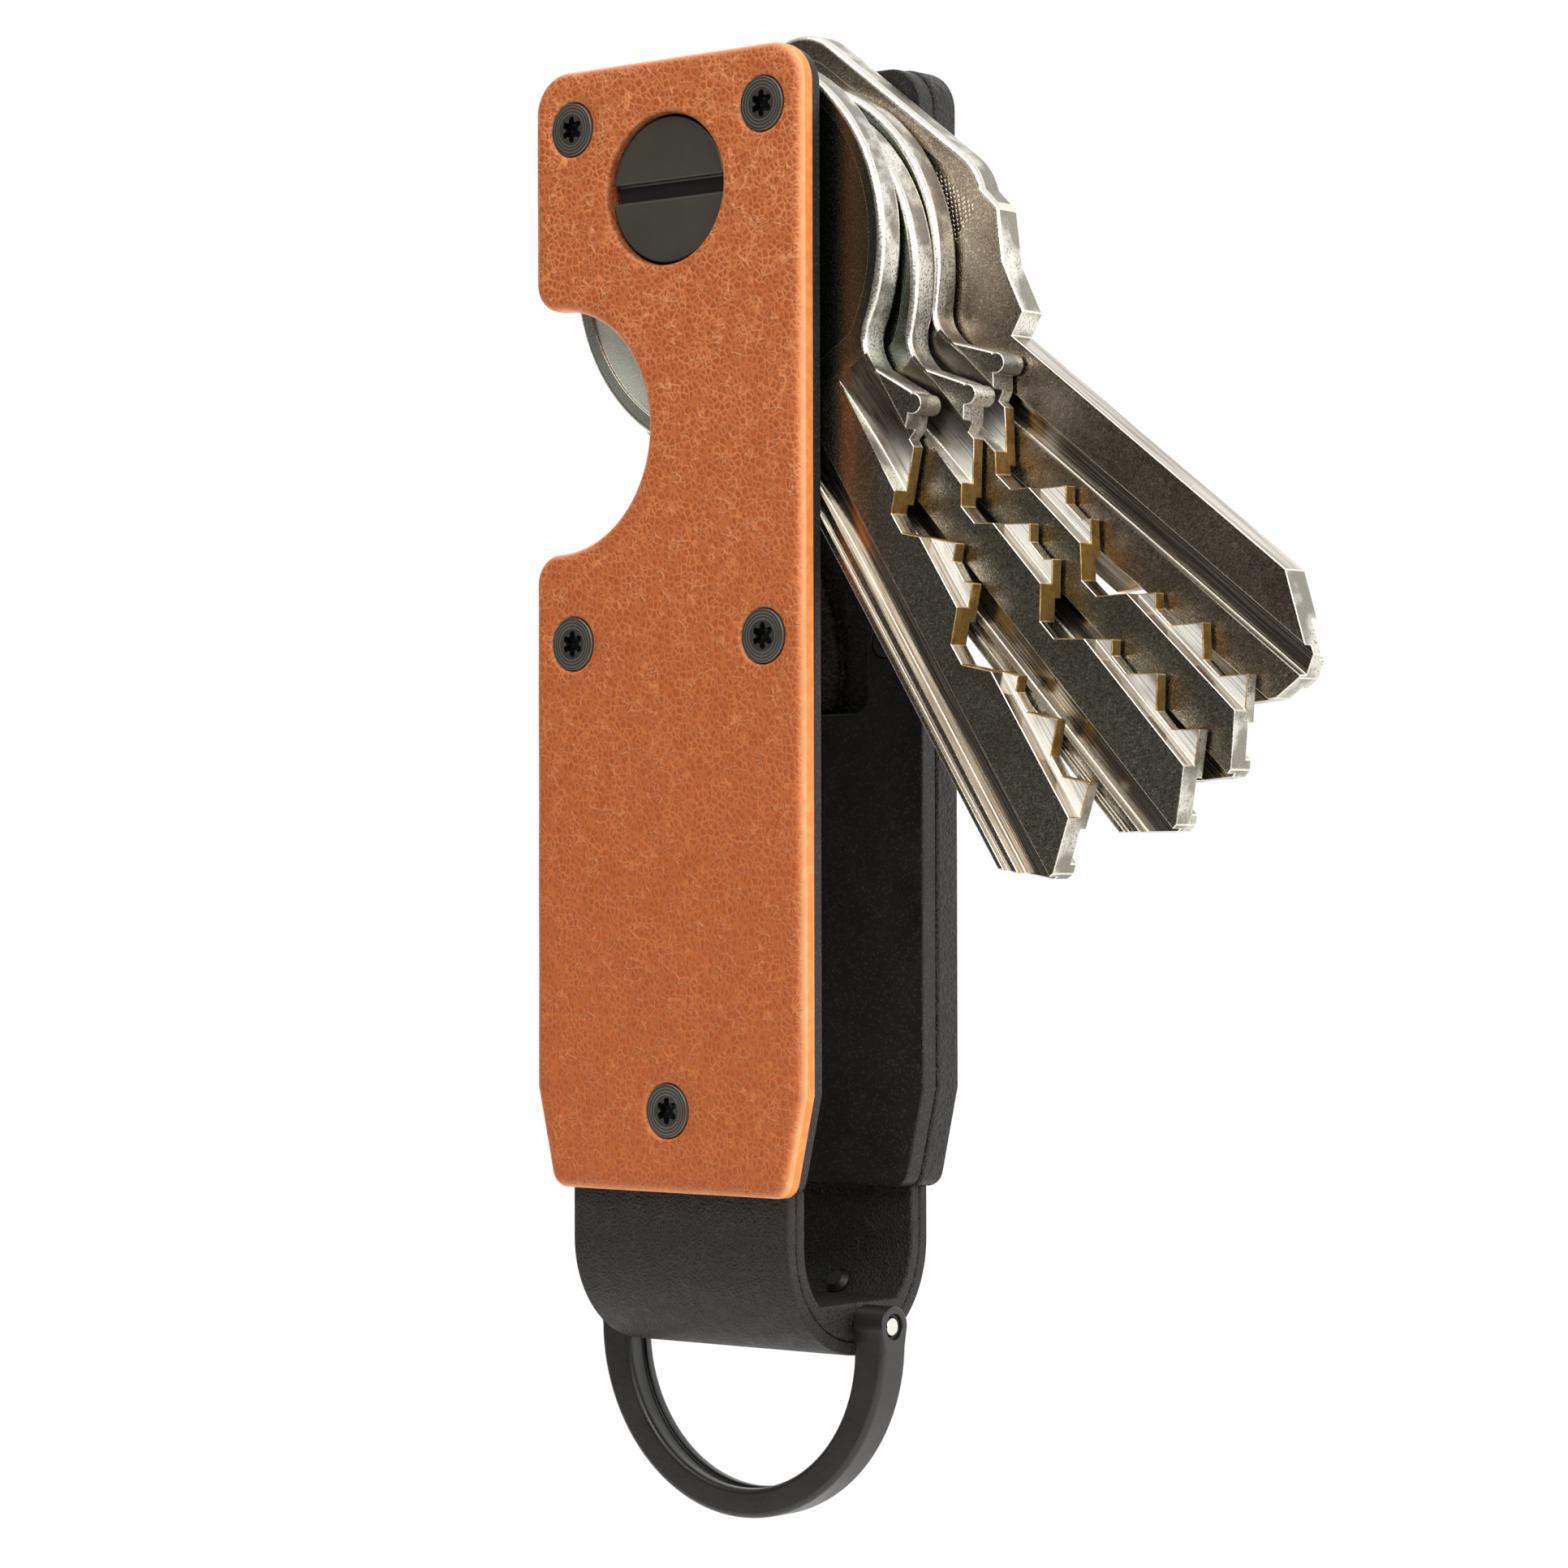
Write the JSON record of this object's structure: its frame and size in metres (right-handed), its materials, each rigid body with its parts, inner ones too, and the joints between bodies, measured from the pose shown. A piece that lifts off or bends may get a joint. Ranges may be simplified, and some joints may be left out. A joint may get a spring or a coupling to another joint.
{
  "type": "key organiser",
  "caption": "Folding key holder: two leather-faced plates on a slotted pivot, keys fanning out between them, a strap loop at the foot and a hanging D-ring.",
  "frame": {"origin": "middle of the back cover's outer face", "axes": "+X across the width, +Y out of the back face, +Z along the case from the ring to the pivot"},
  "size_m": [0.0538, 0.0159, 0.0956],
  "materials": {
    "tan_leather": "fine pebbled grain, satin",
    "black_leather": "fine grain, matt",
    "strap_leather": "fine grain, satin",
    "black_plate": "fine textured powder coat",
    "black_steel": "satin black oxide",
    "black_screw": "turned, black oxide",
    "washer_steel": "satin",
    "shim_nylon": "matt",
    "key_nickel": "worn nickel plate over brass",
    "key_dull_nickel": "dull nickel plate over brass",
    "black_ring": "satin black coating",
    "pin_steel": "turned"
  },
  "bodies": {
    "case": {"front_leather_cover": "tan_leather", "front_plate": "black_plate", "strap_clamp_bar": "black_steel", "back_plate": "black_plate", "back_leather_cover": "black_leather", "strap_outer": "strap_leather", "strap_lining": "strap_leather", "strap_rivets": "black_steel", "pivot_screw": "black_steel", "pivot_barrel": "black_steel", "friction_washer_front": "washer_steel", "shim_1": "shim_nylon", "shim_2": "shim_nylon", "shim_3": "shim_nylon", "friction_washer_back": "washer_steel", "front_cover_screws": "black_screw", "back_cover_screws": "black_screw"},
    "key_1": {"key_1": "key_nickel"},
    "key_2": {"key_2": "key_nickel"},
    "key_3": {"key_3": "key_nickel"},
    "key_4": {"key_4": "key_dull_nickel"},
    "ring": {"d_ring": "black_ring", "ring_pin": "pin_steel"}
  },
  "joints": [
    {"name": "key_1_swing", "type": "hinge", "parent": "case", "child": "key_1", "pos_m": [0, -0.0121, 0.02765], "axis": [0, -1, 0], "range_deg": [-32.9, 147.1]},
    {"name": "key_2_swing", "type": "hinge", "parent": "case", "child": "key_2", "pos_m": [0, -0.00975, 0.02765], "axis": [0, -1, 0], "range_deg": [-43, 137]},
    {"name": "key_3_swing", "type": "hinge", "parent": "case", "child": "key_3", "pos_m": [0, -0.0074, 0.02765], "axis": [0, -1, 0], "range_deg": [-47.1, 132.9]},
    {"name": "key_4_swing", "type": "hinge", "parent": "case", "child": "key_4", "pos_m": [0, -0.00505, 0.02765], "axis": [0, -1, 0], "range_deg": [-52.6, 127.4]},
    {"name": "ring_swing", "type": "hinge", "parent": "case", "child": "ring", "pos_m": [0, -0.00758, -0.04435], "axis": [1, 0, 0], "range_deg": [-70, 70]}
  ]
}
